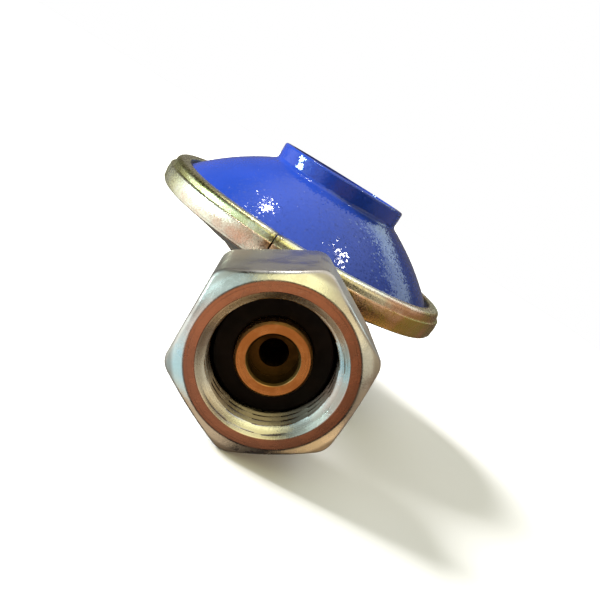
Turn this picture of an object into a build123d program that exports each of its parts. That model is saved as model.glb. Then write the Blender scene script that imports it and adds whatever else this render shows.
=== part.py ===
from build123d import *
from math import atan2, cos, degrees, pi, radians, sin, sqrt, tan
import os

# Butane regulator: a brass inlet nipple with a free-turning union nut, a cast body with a
# lever valve, and a spring-loaded diaphragm under a painted cover held on by a rolled ring.
# Millimetres. The origin is the centre of the sealing washer's front face, on the inlet
# axis. +Y runs from the inlet towards the outlet, +Z points from the inlet to the hub.

os.makedirs("parts", exist_ok=True)

# Clearances
running_gap = 0.06
seat_gap = 0.05
loose_gap = 0.3
pad_gap = 0.02
edge_break = 0.4
cut_margin = 1.0

# Union nut
nut_across_flats = 30.0
nut_length = 20.3
nut_corner_round = 3.0
nut_face_r = 13.72
nut_mouth_r = 11.92
nut_chamfer_angle = 30.0
nut_shoulder = 5.0
nut_forward_play = 2.0
nut_back_play = 1.6
thread_minor_r = 10.3
thread_major_r = 11.45
thread_relief_length = 1.6
washer_depth = 6.5

# Sealing washer, slip ring and nipple
washer_thickness = 3.0
washer_play = 0.4
washer_overhang = 0.3
washer_edge_round = 0.3
spigot_r = 6.31
spigot_reach = 3.0
spigot_bore_r = 4.06
spigot_bore_depth = 4.0
nipple_bore_r = 2.47
neck_r = 7.9
slip_ring_thickness = 0.8
tail_r = 5.0
tail_length = 10.0
filter_r = 3.55
filter_length = 5.2
filter_wall = 0.8

# Clamped flanges
flange_r = 33.1
body_flange = 2.05
bead_thickness = 2.0
bead_width = 3.8
chamber_step = 0.8

# Crimped ring
ring_wall = 1.98
ring_belly = 0.2
ring_lip = 1.0
ring_lip_gap = 0.34
ring_bottom = 7.75
ledge_width = 0.68
ledge_drop = 2.0
crease_drop = 5.4
crease_step = 0.3
ring_top_round = 1.2
ring_foot_round = 0.42
ring_foot_rise = 1.08
ring_foot_bulge = 0.08
lower_lip_reach = 2.1
seam_angle = -104.2
seam_gap = 0.35

# Cover with its hub
cover_flange = 1.0
cover_wall = 1.7
cover_ledge = 1.9
dome_rise = 11.25
dome_bulge = 0.79
hub_r = 15.4
hub_rim = 2.0
hub_top_rise = 15.1
hub_edge_round = 0.5
hub_foot_round = 1.0
vent_r = 0.8
vent_inset = 7.2

# Adjuster in the hub
plug_length = 4.2
plug_rise = 0.8
plug_drop = 1.2
plug_pitch = 1.5
plug_socket_flats = 8.0
plug_socket_depth = 2.5
cap_thickness = 1.2
cap_ledge = 1.4
cap_recess = 0.3
cap_dish_inset = 2.0
cap_dish_depth = 0.4
cap_dish_taper = 30.0
seat_inset = 1.1
seat_thickness = 1.0
seat_boss_inset = 0.65
seat_boss = 1.0
seat_boss_taper = 10.0

# Main spring
spring_wire_r = 0.75
spring_inset = 1.3
spring_turns = 3.5

# Body casting
barrel_r = 7.2
barrel_front = 16.4
dish_flat_r = 24.0
dish_step = 0.1
floor_bottom = 5.6
floor_top = 7.8
chamber_round = 2.6
valve_bore_r = 4.5
housing_r = 9.5
housing_taper = 3.0
rib_thickness = 1.8
rib_depth = 4.4

# Valve, lever and diaphragm stack
jet_length = 6.0
jet_nose = 1.3
jet_nose_r = 2.0
jet_nose_taper = 15.0
jet_orifice_r = 0.9
jet_socket_flats = 3.6
jet_socket_depth = 3.0
jet_to_disc = 4.9
pad_r = 3.2
pad_thickness = 2.0
pad_stand = 0.5
plunger_flat = 3.5
plunger_top = 3.6
plunger_tail = 3.1
pocket_spare = 4.0
stack_lift = 2.2
long_arm = 17.0
lever_pin_r = 1.25
lever_pin_length = 15.0
lever_width = 3.4
lever_hub_r = 2.6
toe_r = 1.2
toe_shank = 1.2
fork_width = 7.2
fork_reach = 3.0
fork_thickness = 1.8
fork_slot = 3.8
fork_root = 0.5
keeper_thickness = 1.0
keeper_width = 19.0
keeper_length = 9.1
keeper_corner_round = 1.0
keeper_slot_spare = 2.0
screw_r = 1.0
screw_head_r = 1.9
screw_head = 1.3
screw_length = 5.0
screw_spacing = 13.2
screw_back = 4.3
screw_slot = 0.5
screw_slot_depth = 0.65

web_thickness = 1.0
web_drop = 0.1
wave_r = 3.75
wave_inset = 1.8
lower_plate_r = 14.0
lower_plate_thickness = 0.7
spring_plate_inset = 1.5
spring_plate_thickness = 1.0
spring_plate_rim = 1.8
foot_r = 3.2
foot_thickness = 1.0
stem_collar = 0.5
stem_neck_r = 1.6
stem_neck = 3.0
stem_r = 2.0
stem_nut_flats = 7.0
stem_nut_height = 2.4
stem_tip = 0.6

# Outlet nozzle
body_end_margin = 0.9
nozzle_thread_length = 9.0
seal_thickness = 1.5
nozzle_hex_overhang = 0.3
nozzle_hex_length = 6.0
nozzle_hex_chamfer = 0.5
nozzle_bore_r = 2.8
hose_r = 4.6
hose_groove_r = 4.0
hose_shank = 6.0
barb_count = 4
barb_pitch = 3.8
barb_groove = 0.6
barb_land = 0.8

# Radii about the disc axis, worked out from the sizes above
ring_inner_r = flange_r + seat_gap
ring_outer_r = ring_inner_r + ring_wall
ring_band_r = ring_outer_r - ledge_width
ring_foot_r = ring_outer_r - crease_step - ring_foot_round
ring_lower_lip_r = flange_r - lower_lip_reach
dome_foot_r = flange_r - cover_ledge
ring_lip_r = dome_foot_r + ring_lip_gap
bead_inner_r = flange_r - bead_width
chamber_r = bead_inner_r - chamber_step
dish_wall_r = ring_lower_lip_r - seat_gap
wave_outer_r = bead_inner_r - wave_inset
wave_place_r = wave_outer_r - wave_r - web_thickness / 2
spring_plate_r = wave_place_r - wave_r - web_thickness / 2 - spring_plate_inset
cap_r = hub_r - hub_rim
plug_r = cap_r - cap_ledge
seat_r = plug_r - seat_inset
spring_r = seat_r - spring_inset
seat_boss_r = spring_r - spring_wire_r - seat_boss_inset

# Stations along the inlet axis
nut_front = -washer_depth
nut_back = nut_front + nut_length
shoulder_face = nut_back - nut_shoulder
flange_back = shoulder_face - slip_ring_thickness - nut_forward_play
disc_y = nut_back + nut_back_play + loose_gap + ring_belly + ring_outer_r
far_edge_y = disc_y + ring_outer_r + ring_belly
tail_end = barrel_front + tail_length
pivot_y = disc_y + long_arm
nose_y = disc_y - jet_to_disc + jet_nose
jet_face_y = nose_y - jet_nose
jet_back_y = jet_face_y - jet_length
barrel_end = far_edge_y + body_end_margin
housing_front = jet_back_y - housing_taper
housing_back = pivot_y + screw_back + housing_taper + screw_head_r

# Heights above the inlet axis
ring_foot_z = ring_bottom + ring_foot_rise
flange_low = ring_bottom + ring_lip
flange_edge = flange_low + lower_lip_reach * ring_foot_rise / (ring_foot_r - ring_lower_lip_r)
bead_low = flange_low + body_flange
bead_high = bead_low + bead_thickness
dome_foot_z = bead_high + cover_flange
ring_top = dome_foot_z + ring_lip
hub_top = dome_foot_z + hub_top_rise
cap_base = hub_top - cap_recess - cap_thickness
plug_top = cap_base - plug_rise
plug_base = plug_top - plug_length
seat_low = plug_base - seat_thickness
pivot_z = floor_top - lever_pin_r - seat_gap
web_mid = (bead_low + bead_high) / 2 - web_drop
web_low = web_mid - web_thickness / 2
web_high = web_mid + web_thickness / 2
plate_low = web_low - lower_plate_thickness
neck_top = plate_low - stem_collar
neck_low = neck_top - stem_neck
fork_mid = (neck_top + neck_low) / 2
spring_low = web_high + spring_plate_thickness
valve_travel = stack_lift * pivot_z / long_arm
pad_face_y = nose_y + valve_travel + running_gap

disc_axis = Axis((0, disc_y, 0), (0, 0, 1))
disc_plane = Plane(origin=(0, disc_y, 0), x_dir=(1, 0, 0), z_dir=(0, -1, 0))


def across(y):
    """Plane square to the inlet axis, facing the outlet."""
    return Plane(origin=(0, y, 0), x_dir=(1, 0, 0), z_dir=(0, 1, 0))


def level(z):
    """Plane square to the disc axis, centred on it and facing up."""
    return Plane(origin=(0, disc_y, z), x_dir=(1, 0, 0), z_dir=(0, 0, 1))


# Union nut: hexagon with turned chamfers, left-hand internal thread and a back shoulder
nut_corner_r = nut_across_flats / sqrt(3)
nut_chamfer = (nut_corner_r - nut_face_r) * tan(radians(nut_chamfer_angle))
neck_hole_r = neck_r + running_gap
with BuildPart() as union_nut:
    with BuildSketch(across(nut_front)):
        RegularPolygon(nut_across_flats / 2, 6, major_radius=False, rotation=30)
    extrude(amount=nut_length)
    fillet(union_nut.edges().filter_by(Axis.Y), nut_corner_round)
    with BuildSketch(Plane.XY):
        with BuildLine():
            Polyline(
                (0, nut_front),
                (nut_face_r, nut_front),
                (nut_corner_r, nut_front + nut_chamfer),
                (nut_corner_r, nut_back - nut_chamfer),
                (nut_face_r, nut_back),
                (0, nut_back),
                close=True,
            )
        make_face()
    revolve(axis=Axis.Y, mode=Mode.INTERSECT)
    with BuildSketch(Plane.XY):
        with BuildLine():
            Polyline(
                (0, nut_front),
                (nut_mouth_r, nut_front),
                (thread_minor_r, nut_front + nut_mouth_r - thread_minor_r),
                (thread_minor_r, shoulder_face - thread_relief_length),
                (thread_major_r, shoulder_face - thread_relief_length),
                (thread_major_r, shoulder_face),
                (neck_hole_r, shoulder_face),
                (neck_hole_r, nut_back),
                (0, nut_back),
                close=True,
            )
        make_face()
    revolve(axis=Axis.Y, mode=Mode.SUBTRACT)
union_nut.part.label = "union_nut"
export_step(union_nut.part, "parts/union_nut.step")

# Slip ring: lets the nut turn freely while it pulls on the nipple's flange
slip_ring_r = thread_minor_r - loose_gap
with BuildPart() as nut_slip_ring:
    with BuildSketch(across(shoulder_face - slip_ring_thickness)):
        Circle(slip_ring_r)
        Circle(neck_hole_r, mode=Mode.SUBTRACT)
    extrude(amount=slip_ring_thickness)
nut_slip_ring.part.label = "nut_slip_ring"
export_step(nut_slip_ring.part, "parts/nut_slip_ring.step")

# Sealing washer: black rubber, seated on the nipple's flange
washer_r = thread_minor_r - washer_play
with BuildPart() as sealing_washer:
    with BuildSketch(across(0)):
        Circle(washer_r)
        Circle(spigot_r + seat_gap, mode=Mode.SUBTRACT)
    extrude(amount=washer_thickness)
    fillet(sealing_washer.edges().sort_by(Axis.Y)[:2], washer_edge_round)
sealing_washer.part.label = "sealing_washer"
export_step(sealing_washer.part, "parts/sealing_washer.step")

# Inlet nipple: spigot, flange, neck and threaded tail, bored through
nipple_flange_r = washer_r - washer_overhang
with BuildPart() as inlet_nipple:
    with BuildSketch(Plane.XY):
        with BuildLine():
            Polyline(
                (spigot_bore_r + edge_break, -spigot_reach),
                (spigot_r - edge_break, -spigot_reach),
                (spigot_r, edge_break - spigot_reach),
                (spigot_r, washer_thickness),
                (nipple_flange_r, washer_thickness),
                (nipple_flange_r, flange_back),
                (neck_r, flange_back),
                (neck_r, barrel_front - edge_break),
                (neck_r - edge_break, barrel_front),
                (tail_r, barrel_front),
                (tail_r, tail_end - edge_break),
                (tail_r - edge_break, tail_end),
                (filter_r + seat_gap, tail_end),
                (filter_r + seat_gap, tail_end - filter_length),
                (nipple_bore_r, tail_end - filter_length),
                (nipple_bore_r, spigot_bore_depth - spigot_reach),
                (spigot_bore_r, spigot_bore_depth - spigot_reach),
                (spigot_bore_r, edge_break - spigot_reach),
                close=True,
            )
        make_face()
    revolve(axis=Axis.Y)
inlet_nipple.part.label = "inlet_nipple"
export_step(inlet_nipple.part, "parts/inlet_nipple.step")

# Inlet filter: sintered thimble in the nipple's tail
with BuildPart() as inlet_filter:
    with BuildSketch(across(tail_end - filter_length)):
        Circle(filter_r)
    extrude(amount=filter_length - seat_gap)
    with BuildSketch(across(tail_end - filter_length + filter_wall)):
        Circle(filter_r - filter_wall)
    extrude(amount=filter_length, mode=Mode.SUBTRACT)
inlet_filter.part.label = "inlet_filter"
export_step(inlet_filter.part, "parts/inlet_filter.step")

# Body casting: shallow dish over a barrel that carries the inlet, the valve and the outlet
pocket_front = jet_face_y
pocket_back = pivot_y + plunger_tail + pocket_spare
screw_y = pivot_y + screw_back
chamber_round_mid = chamber_round * (1 - cos(pi / 4))
with BuildPart() as body_casting:
    with BuildSketch(disc_plane):
        with BuildLine():
            Polyline(
                (0, floor_bottom),
                (dish_flat_r, floor_bottom),
                (dish_wall_r, ring_bottom + dish_step),
                (dish_wall_r, flange_low),
                (flange_r, flange_edge),
                (flange_r, bead_low),
                (0, bead_low),
                close=True,
            )
        make_face()
    revolve(axis=disc_axis)
    with BuildSketch(across(barrel_front)):
        Circle(barrel_r)
    extrude(amount=barrel_end - barrel_front)
    with BuildSketch(Plane.XY):
        with BuildLine():
            Polyline(
                (0, housing_front),
                (barrel_r, housing_front),
                (housing_r, housing_front + housing_taper),
                (housing_r, housing_back - housing_taper),
                (barrel_r, housing_back),
                (0, housing_back),
                close=True,
            )
        make_face()
    revolve(axis=Axis.Y)
    for rib_offset in (-long_arm, 0, long_arm):
        rib_reach = sqrt(dish_flat_r**2 - (abs(rib_offset) + rib_thickness / 2) ** 2)
        with BuildSketch(Plane.XZ.offset(-disc_y - rib_offset)):
            with BuildLine():
                Polyline(
                    (-rib_reach, floor_bottom),
                    (-barrel_r, floor_bottom - rib_depth),
                    (barrel_r, floor_bottom - rib_depth),
                    (rib_reach, floor_bottom),
                    close=True,
                )
            make_face()
        extrude(amount=rib_thickness / 2, both=True)
    with BuildSketch(disc_plane):
        with BuildLine():
            Polyline((0, bead_high), (chamber_r, bead_high), (chamber_r, floor_top + chamber_round))
            ThreePointArc(
                (chamber_r, floor_top + chamber_round),
                (chamber_r - chamber_round_mid, floor_top + chamber_round_mid),
                (chamber_r - chamber_round, floor_top),
            )
            Polyline((chamber_r - chamber_round, floor_top), (0, floor_top), (0, bead_high))
        make_face()
    revolve(axis=disc_axis, mode=Mode.SUBTRACT)
    with BuildSketch(across(barrel_front)):
        Circle(tail_r + seat_gap)
    extrude(amount=tail_length + seat_gap, mode=Mode.SUBTRACT)
    with BuildSketch(across(barrel_front)):
        Circle(valve_bore_r)
    extrude(amount=barrel_end - barrel_front, mode=Mode.SUBTRACT)
    with BuildSketch(across(barrel_end - nozzle_thread_length - seal_thickness)):
        Circle(tail_r + seat_gap)
    extrude(amount=nozzle_thread_length + seal_thickness, mode=Mode.SUBTRACT)
    with BuildSketch(Plane.XY.offset(floor_top)):
        with Locations((0, (pocket_front + pocket_back) / 2)):
            Rectangle(2 * valve_bore_r, pocket_back - pocket_front)
    extrude(amount=-floor_top, mode=Mode.SUBTRACT)
    with BuildSketch(Plane.YZ):
        with Locations((pivot_y, pivot_z)):
            Circle(lever_pin_r + seat_gap)
        with Locations((pivot_y, (pivot_z + floor_top) / 2)):
            Rectangle(2 * (lever_pin_r + seat_gap), floor_top - pivot_z)
    extrude(amount=lever_pin_length / 2 + seat_gap, both=True, mode=Mode.SUBTRACT)
    with BuildSketch(Plane.XY.offset(floor_top)):
        with Locations((-screw_spacing / 2, screw_y), (screw_spacing / 2, screw_y)):
            Circle(screw_r + seat_gap)
    extrude(amount=-screw_length, mode=Mode.SUBTRACT)
body_casting.part.label = "body_casting"
export_step(body_casting.part, "parts/body_casting.step")

# Inlet jet: brass plug with a raised nose round its orifice
with BuildPart() as inlet_jet:
    with BuildSketch(across(jet_back_y)):
        Circle(valve_bore_r - seat_gap)
    extrude(amount=jet_length)
    with BuildSketch(across(jet_face_y)):
        Circle(jet_nose_r)
    extrude(amount=jet_nose, taper=jet_nose_taper)
    with BuildSketch(across(jet_back_y)):
        Circle(jet_orifice_r)
    extrude(amount=jet_length + jet_nose, mode=Mode.SUBTRACT)
    with BuildSketch(across(jet_back_y)):
        RegularPolygon(jet_socket_flats / 2, 6, major_radius=False)
    extrude(amount=jet_socket_depth, mode=Mode.SUBTRACT)
inlet_jet.part.label = "inlet_jet"
export_step(inlet_jet.part, "parts/inlet_jet.step")

# Valve plunger: slides in the body's bore, with flats for the gas and a slot for the toe
plunger_front = pad_face_y + pad_stand
plunger_back = pivot_y + plunger_tail
slot_low = -toe_r - loose_gap
with BuildPart() as valve_plunger:
    with BuildSketch(across(plunger_front)):
        Circle(valve_bore_r - running_gap)
        with Locations((0, (valve_bore_r - plunger_top) / 2)):
            Rectangle(2 * plunger_flat, valve_bore_r + plunger_top, mode=Mode.INTERSECT)
    extrude(amount=plunger_back - plunger_front)
    with BuildSketch(across(plunger_front)):
        Circle(pad_r)
    extrude(amount=pad_thickness - pad_stand, mode=Mode.SUBTRACT)
    with BuildSketch(Plane.YZ):
        with Locations((pivot_y, slot_low + valve_bore_r)):
            Rectangle(2 * (toe_r + running_gap), 2 * valve_bore_r)
    extrude(amount=valve_bore_r, both=True, mode=Mode.SUBTRACT)
valve_plunger.part.label = "valve_plunger"
export_step(valve_plunger.part, "parts/valve_plunger.step")

# Valve pad: rubber disc that closes on the jet's nose
with BuildPart() as valve_pad:
    with BuildSketch(across(pad_face_y)):
        Circle(pad_r - pad_gap)
    extrude(amount=pad_thickness)
valve_pad.part.label = "valve_pad"
export_step(valve_pad.part, "parts/valve_pad.step")

# Lever: hub on the pin, toe down into the plunger, long arm back to a fork round the stem
arm_low = fork_mid - fork_thickness / 2
arm_high = fork_mid + fork_thickness / 2
with BuildPart() as lever:
    with BuildSketch(Plane.YZ):
        with Locations((pivot_y, pivot_z)):
            Circle(lever_hub_r)
        with Locations((pivot_y, pivot_z / 2)):
            Rectangle(toe_shank, pivot_z)
        with Locations((pivot_y, 0)):
            Circle(toe_r)
        with BuildLine():
            Polyline(
                (disc_y + fork_reach, arm_low),
                (disc_y + fork_reach, arm_high),
                (pivot_y, pivot_z + lever_hub_r),
                (pivot_y - lever_hub_r, pivot_z),
                close=True,
            )
        make_face()
        with Locations((pivot_y, pivot_z)):
            Circle(lever_pin_r + running_gap, mode=Mode.SUBTRACT)
    extrude(amount=lever_width / 2, both=True)
    with BuildSketch(Plane.XY.offset(arm_low)):
        with Locations((0, disc_y + fork_root / 2)):
            Rectangle(fork_width, 2 * fork_reach + fork_root)
        with Locations((0, disc_y + loose_gap)):
            Circle(fork_slot / 2, mode=Mode.SUBTRACT)
        with Locations((0, disc_y + loose_gap - fork_reach)):
            Rectangle(fork_slot, 2 * fork_reach, mode=Mode.SUBTRACT)
    extrude(amount=fork_thickness)
lever.part.label = "lever"
export_step(lever.part, "parts/lever.step")

# Lever pin: lies in a groove across the floor of the chamber
with BuildPart() as lever_pin:
    with BuildSketch(Plane.YZ):
        with Locations((pivot_y, pivot_z)):
            Circle(lever_pin_r)
    extrude(amount=lever_pin_length / 2, both=True)
lever_pin.part.label = "lever_pin"
export_step(lever_pin.part, "parts/lever_pin.step")

# Pin keeper: pressed plate over the pin, slotted for the lever
keeper_front = pivot_y - lever_pin_r * 2
keeper_slot = lever_width + 2 * loose_gap
keeper_slot_length = 2 * lever_pin_r + lever_hub_r + keeper_slot_spare
with BuildPart() as pin_keeper:
    with BuildSketch(Plane.XY.offset(floor_top)):
        with Locations((0, keeper_front + keeper_length / 2)):
            RectangleRounded(keeper_width, keeper_length, keeper_corner_round)
        with Locations((0, keeper_front)):
            Rectangle(keeper_slot, 2 * keeper_slot_length, mode=Mode.SUBTRACT)
        with Locations((-screw_spacing / 2, screw_y), (screw_spacing / 2, screw_y)):
            Circle(screw_r + 2 * seat_gap, mode=Mode.SUBTRACT)
    extrude(amount=keeper_thickness)
pin_keeper.part.label = "pin_keeper"
export_step(pin_keeper.part, "parts/pin_keeper.step")

# Keeper screws: two slotted pan heads
keeper_top = floor_top + keeper_thickness
with BuildPart() as keeper_screws:
    with BuildSketch(Plane.XY.offset(keeper_top)):
        with Locations((-screw_spacing / 2, screw_y), (screw_spacing / 2, screw_y)):
            Circle(screw_head_r)
    extrude(amount=screw_head)
    with BuildSketch(Plane.XY.offset(keeper_top)):
        with Locations((-screw_spacing / 2, screw_y), (screw_spacing / 2, screw_y)):
            Circle(screw_r)
    extrude(amount=-(keeper_thickness + screw_length - loose_gap))
    with BuildSketch(Plane.XY.offset(keeper_top + screw_head)):
        with Locations((-screw_spacing / 2, screw_y), (screw_spacing / 2, screw_y)):
            Rectangle(2 * screw_head_r, screw_slot)
    extrude(amount=-screw_slot_depth, mode=Mode.SUBTRACT)
keeper_screws.part.label = "keeper_screws"
export_step(keeper_screws.part, "parts/keeper_screws.step")

# Diaphragm: rubber sheet with one rolled wave and a bead clamped at the rim
wave_inner_r = wave_place_r - wave_r
wave_rim_r = wave_place_r + wave_r
half_web = web_thickness / 2
with BuildPart() as diaphragm:
    with BuildSketch(disc_plane):
        with BuildLine():
            Polyline(
                (wave_inner_r + half_web, web_low),
                (stem_r + seat_gap, web_low),
                (stem_r + seat_gap, web_high),
                (wave_inner_r - half_web, web_high),
                (wave_inner_r - half_web, web_mid),
            )
            ThreePointArc(
                (wave_inner_r - half_web, web_mid),
                (wave_place_r, web_mid + wave_r + half_web),
                (wave_rim_r + half_web, web_mid),
            )
            Polyline(
                (wave_rim_r + half_web, web_mid),
                (wave_rim_r + half_web, web_high),
                (bead_inner_r, web_high),
                (bead_inner_r, bead_high),
                (flange_r - seat_gap, bead_high),
                (flange_r - seat_gap, bead_low),
                (bead_inner_r, bead_low),
                (bead_inner_r, web_low),
                (wave_rim_r - half_web, web_low),
                (wave_rim_r - half_web, web_mid),
            )
            ThreePointArc(
                (wave_rim_r - half_web, web_mid),
                (wave_place_r, web_mid + wave_r - half_web),
                (wave_inner_r + half_web, web_mid),
            )
            Line((wave_inner_r + half_web, web_mid), (wave_inner_r + half_web, web_low))
        make_face()
    revolve(axis=disc_axis)
diaphragm.part.label = "diaphragm"
export_step(diaphragm.part, "parts/diaphragm.step")

# Lower plate: backs the diaphragm on the gas side
with BuildPart() as lower_plate:
    with BuildSketch(level(plate_low)):
        Circle(lower_plate_r)
        Circle(stem_r + seat_gap, mode=Mode.SUBTRACT)
    extrude(amount=lower_plate_thickness)
lower_plate.part.label = "lower_plate"
export_step(lower_plate.part, "parts/lower_plate.step")

# Spring plate: carries the spring, with an upturned rim and a ring that centres the coil
centring_r = spring_r - spring_wire_r - loose_gap
with BuildPart() as spring_plate:
    with BuildSketch(level(web_high)):
        Circle(spring_plate_r)
    extrude(amount=spring_plate_thickness)
    with BuildSketch(level(spring_low)):
        Circle(spring_plate_r)
        Circle(spring_plate_r - spring_plate_thickness, mode=Mode.SUBTRACT)
        Circle(centring_r)
        Circle(centring_r - spring_plate_thickness, mode=Mode.SUBTRACT)
    extrude(amount=spring_plate_rim)
    with BuildSketch(level(web_high)):
        Circle(stem_r + seat_gap)
    extrude(amount=spring_plate_thickness, mode=Mode.SUBTRACT)
spring_plate.part.label = "spring_plate"
export_step(spring_plate.part, "parts/spring_plate.step")

# Diaphragm stem: foot under the fork, neck, shoulder, and a thread for the nut
stem_top = spring_low + stem_nut_height + stem_tip
with BuildPart() as diaphragm_stem:
    with BuildSketch(disc_plane):
        with BuildLine():
            Polyline(
                (0, neck_low - foot_thickness),
                (foot_r, neck_low - foot_thickness),
                (foot_r, neck_low),
                (stem_neck_r, neck_low),
                (stem_neck_r, neck_top),
                (foot_r, neck_top),
                (foot_r, plate_low),
                (stem_r, plate_low),
                (stem_r, stem_top),
                (0, stem_top),
                close=True,
            )
        make_face()
    revolve(axis=disc_axis)
diaphragm_stem.part.label = "diaphragm_stem"
export_step(diaphragm_stem.part, "parts/diaphragm_stem.step")

# Stem nut: clamps the plates and the diaphragm
with BuildPart() as stem_nut:
    with BuildSketch(level(spring_low)):
        RegularPolygon(stem_nut_flats / 2, 6, major_radius=False)
        Circle(stem_r + seat_gap, mode=Mode.SUBTRACT)
    extrude(amount=stem_nut_height)
stem_nut.part.label = "stem_nut"
export_step(stem_nut.part, "parts/stem_nut.step")

# Main spring: flat helix, ground square at both ends
spring_height = seat_low - spring_low
coil_height = spring_height - 2 * seat_gap
coil_pitch = coil_height / spring_turns
with BuildPart() as main_spring:
    with BuildLine() as coil_line:
        Helix(
            pitch=coil_pitch,
            height=coil_height,
            radius=spring_r,
            center=(0, disc_y, spring_low + seat_gap),
        )
    with BuildSketch(Plane(origin=coil_line.line @ 0, z_dir=coil_line.line % 0)):
        Circle(spring_wire_r)
    sweep(path=coil_line.line, is_frenet=True)
    with BuildSketch(level(spring_low)):
        Circle(spring_r + 2 * spring_wire_r)
    extrude(amount=spring_height, mode=Mode.INTERSECT)
main_spring.part.label = "main_spring"
export_step(main_spring.part, "parts/main_spring.step")

# Spring seat: disc under the plug, with a boss inside the coil
with BuildPart() as spring_seat:
    with BuildSketch(level(seat_low)):
        Circle(seat_r)
    extrude(amount=seat_thickness)
    with BuildSketch(level(seat_low)):
        Circle(seat_boss_r)
    extrude(amount=-seat_boss, taper=seat_boss_taper)
spring_seat.part.label = "spring_seat"
export_step(spring_seat.part, "parts/spring_seat.step")

# Adjusting plug: screws down on the seat to set the outlet pressure
with BuildPart() as adjusting_plug:
    with BuildSketch(level(plug_base)):
        Circle(plug_r - running_gap)
    extrude(amount=plug_length)
    chamfer(adjusting_plug.edges().group_by(Axis.Z)[-1], edge_break)
    with BuildSketch(level(plug_top)):
        RegularPolygon(plug_socket_flats / 2, 6, major_radius=False)
    extrude(amount=-plug_socket_depth, mode=Mode.SUBTRACT)
adjusting_plug.part.label = "adjusting_plug"
export_step(adjusting_plug.part, "parts/adjusting_plug.step")

# Hub cap: pressed into the hub over the plug
with BuildPart() as hub_cap:
    with BuildSketch(level(cap_base)):
        Circle(cap_r - seat_gap)
    extrude(amount=cap_thickness)
    with BuildSketch(level(cap_base + cap_thickness)):
        Circle(cap_r - cap_dish_inset)
    extrude(amount=-cap_dish_depth, taper=cap_dish_taper, mode=Mode.SUBTRACT)
hub_cap.part.label = "hub_cap"
export_step(hub_cap.part, "parts/hub_cap.step")

# Cover: painted casting with a convex cone, a hub and a clamped flange
wall_run = dome_foot_r - hub_r
wall_slant = sqrt(wall_run ** 2 + dome_rise ** 2)
out_r = dome_rise / wall_slant
out_z = wall_run / wall_slant
wall_in = cover_wall * out_r
wall_down = cover_wall * out_z
dome_head_z = dome_foot_z + dome_rise
dome_mid_r = (dome_foot_r + hub_r) / 2 + dome_bulge * out_r
dome_mid_z = (dome_foot_z + dome_head_z) / 2 + dome_bulge * out_z
vent_r_place = dome_foot_r - vent_inset
vent_z = dome_foot_z + dome_rise * vent_inset / wall_run
with BuildPart() as cover:
    with BuildSketch(disc_plane):
        with BuildLine():
            Polyline(
                (0, bead_high),
                (flange_r, bead_high),
                (flange_r, dome_foot_z),
                (dome_foot_r, dome_foot_z),
            )
            ThreePointArc((dome_foot_r, dome_foot_z), (dome_mid_r, dome_mid_z), (hub_r, dome_head_z))
            Polyline((hub_r, dome_head_z), (hub_r, hub_top), (0, hub_top), (0, bead_high))
        make_face()
    revolve(axis=disc_axis)
    with BuildSketch(disc_plane):
        with BuildLine():
            Line((0, dome_foot_z - wall_down), (dome_foot_r - wall_in, dome_foot_z - wall_down))
            ThreePointArc(
                (dome_foot_r - wall_in, dome_foot_z - wall_down),
                (dome_mid_r - wall_in, dome_mid_z - wall_down),
                (hub_r - wall_in, dome_head_z - wall_down),
            )
            Polyline(
                (hub_r - wall_in, dome_head_z - wall_down),
                (0, dome_head_z - wall_down),
                (0, dome_foot_z - wall_down),
            )
        make_face()
    revolve(axis=disc_axis, mode=Mode.SUBTRACT)
    with BuildSketch(level(hub_top)):
        Circle(plug_r)
    extrude(amount=-(hub_top - bead_high), mode=Mode.SUBTRACT)
    with BuildSketch(level(hub_top)):
        Circle(cap_r)
    extrude(amount=cap_base - hub_top, mode=Mode.SUBTRACT)
    top_rims = cover.edges().filter_by(GeomType.CIRCLE).group_by(Axis.Z)[-1]
    fillet(top_rims.sort_by(SortBy.RADIUS)[-1], hub_edge_round)
    foot_rims = cover.edges().filter_by_position(Axis.Z, dome_head_z - seat_gap, dome_head_z + seat_gap)
    fillet(foot_rims, hub_foot_round)
    with BuildSketch(
        Plane(
            origin=(0, disc_y + vent_r_place, vent_z),
            x_dir=(1, 0, 0),
            z_dir=(0, out_r, out_z),
        )
    ):
        Circle(vent_r)
    extrude(amount=2 * cover_wall, both=True, mode=Mode.SUBTRACT)
cover.part.label = "cover"
export_step(cover.part, "parts/cover.step")

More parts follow.
